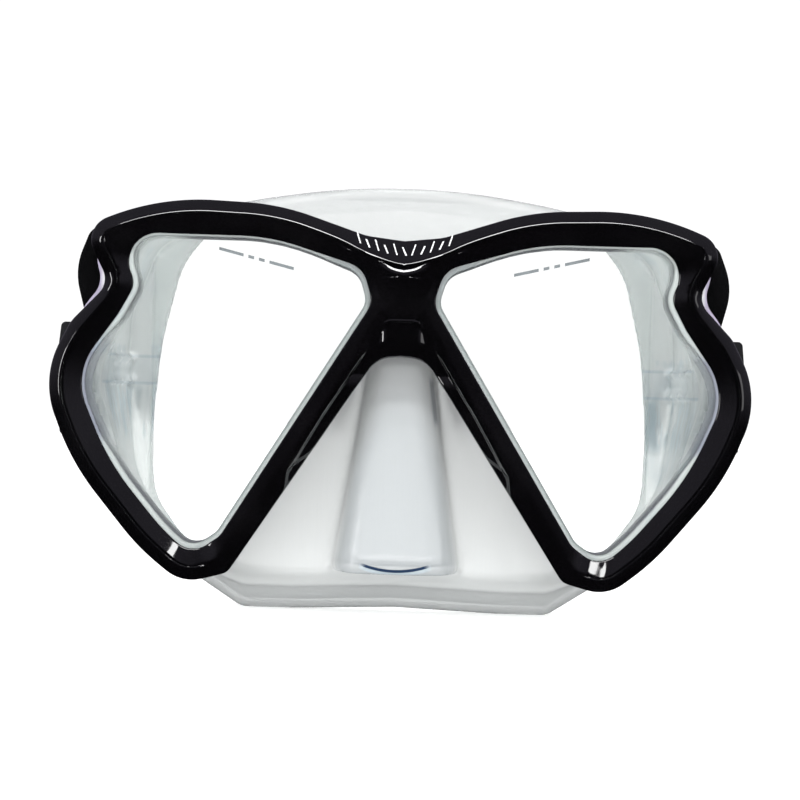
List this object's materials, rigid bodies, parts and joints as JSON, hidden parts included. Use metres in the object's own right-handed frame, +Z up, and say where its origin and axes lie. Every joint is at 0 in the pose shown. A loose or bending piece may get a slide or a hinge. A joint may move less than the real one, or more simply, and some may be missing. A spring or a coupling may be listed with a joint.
{
  "type": "diving mask",
  "caption": "Twin-lens diving mask: black framed glass lenses in a clear silicone skirt with nose pocket and swivelling strap buckles.",
  "frame": {"origin": "bottom centre of the mask's box, where the skirt's lower corners stand", "axes": "+Z up, -Y the way the mask looks, +X to the right of someone who faces it"},
  "size_m": [0.1738, 0.08, 0.108],
  "materials": {
    "frame_gloss": "polished black polycarbonate",
    "frame_satin": "black polycarbonate, as moulded",
    "lens_glass": "clear tempered glass",
    "silicone": "clear liquid silicone rubber",
    "screw_steel": "stainless steel",
    "buckle_plastic": "black glass-filled plastic",
    "roller_plastic": "acetal roller",
    "button_plastic": "black acetal"
  },
  "bodies": {
    "frame": {"front_frame": "frame_gloss", "nose_trim": "frame_gloss", "rear_frame": "frame_satin", "lens_left": "lens_glass", "lens_right": "lens_glass", "skirt": "silicone", "frame_screws": "screw_steel", "buckle_bracket_right": "buckle_plastic", "bracket_screws_right": "screw_steel", "pivot_pin_right": "screw_steel", "pivot_cap_right": "buckle_plastic", "buckle_bracket_left": "buckle_plastic", "bracket_screws_left": "screw_steel", "pivot_pin_left": "screw_steel", "pivot_cap_left": "buckle_plastic"},
    "buckle_right": {"buckle_body_right": "buckle_plastic", "roller_axle_right": "screw_steel", "pawl_pin_right": "screw_steel", "pawl_spring_right": "screw_steel"},
    "roller_right": {"strap_roller_right": "roller_plastic"},
    "pawl_right": {"pawl_right": "button_plastic"},
    "upper_button_right": {"upper_button_right": "button_plastic"},
    "lower_button_right": {"lower_button_right": "button_plastic"},
    "buckle_left": {"buckle_body_left": "buckle_plastic", "roller_axle_left": "screw_steel", "pawl_pin_left": "screw_steel", "pawl_spring_left": "screw_steel"},
    "roller_left": {"strap_roller_left": "roller_plastic"},
    "pawl_left": {"pawl_left": "button_plastic"},
    "upper_button_left": {"upper_button_left": "button_plastic"},
    "lower_button_left": {"lower_button_left": "button_plastic"}
  },
  "joints": [
    {"name": "buckle_swivel_right", "type": "hinge", "parent": "frame", "child": "buckle_right", "pos_m": [0.0825, -0.015, 0.054], "axis": [1, 0, 0], "range_deg": [-35, 35]},
    {"name": "roller_spin_right", "type": "hinge", "parent": "buckle_right", "child": "roller_right", "pos_m": [0.0825, 0.0075, 0.054], "axis": [0, 0, 1], "continuous": true},
    {"name": "upper_button_press_right", "type": "slide", "parent": "buckle_right", "child": "upper_button_right", "axis": [0, 0, -1], "range_m": [0, 0.0015], "stiffness_N_per_m": 300, "springref_m": -0.001},
    {"name": "lower_button_press_right", "type": "slide", "parent": "buckle_right", "child": "lower_button_right", "axis": [0, 0, 1], "range_m": [0, 0.0015]},
    {"name": "pawl_lift_right", "type": "hinge", "parent": "buckle_right", "child": "pawl_right", "pos_m": [0.0843, -0.0033, 0.054], "axis": [0, 0, -1], "range_deg": [0, 25]},
    {"name": "buckle_swivel_left", "type": "hinge", "parent": "frame", "child": "buckle_left", "pos_m": [-0.0825, -0.015, 0.054], "axis": [1, 0, 0], "range_deg": [-35, 35]},
    {"name": "roller_spin_left", "type": "hinge", "parent": "buckle_left", "child": "roller_left", "pos_m": [-0.0825, 0.0075, 0.054], "axis": [0, 0, 1], "continuous": true},
    {"name": "upper_button_press_left", "type": "slide", "parent": "buckle_left", "child": "upper_button_left", "axis": [0, 0, -1], "range_m": [0, 0.0015], "stiffness_N_per_m": 300, "springref_m": -0.001},
    {"name": "lower_button_press_left", "type": "slide", "parent": "buckle_left", "child": "lower_button_left", "axis": [0, 0, 1], "range_m": [0, 0.0015]},
    {"name": "pawl_lift_left", "type": "hinge", "parent": "buckle_left", "child": "pawl_left", "pos_m": [-0.0843, -0.0033, 0.054], "axis": [0, 0, 1], "range_deg": [0, 25]}
  ],
  "couplings": [
    {"joint": "lower_button_press_right", "follows": "upper_button_press_right", "ratio": 1},
    {"joint": "pawl_lift_right", "follows": "upper_button_press_right", "rad_per_m": 285},
    {"joint": "lower_button_press_left", "follows": "upper_button_press_left", "ratio": 1},
    {"joint": "pawl_lift_left", "follows": "upper_button_press_left", "rad_per_m": 285}
  ]
}
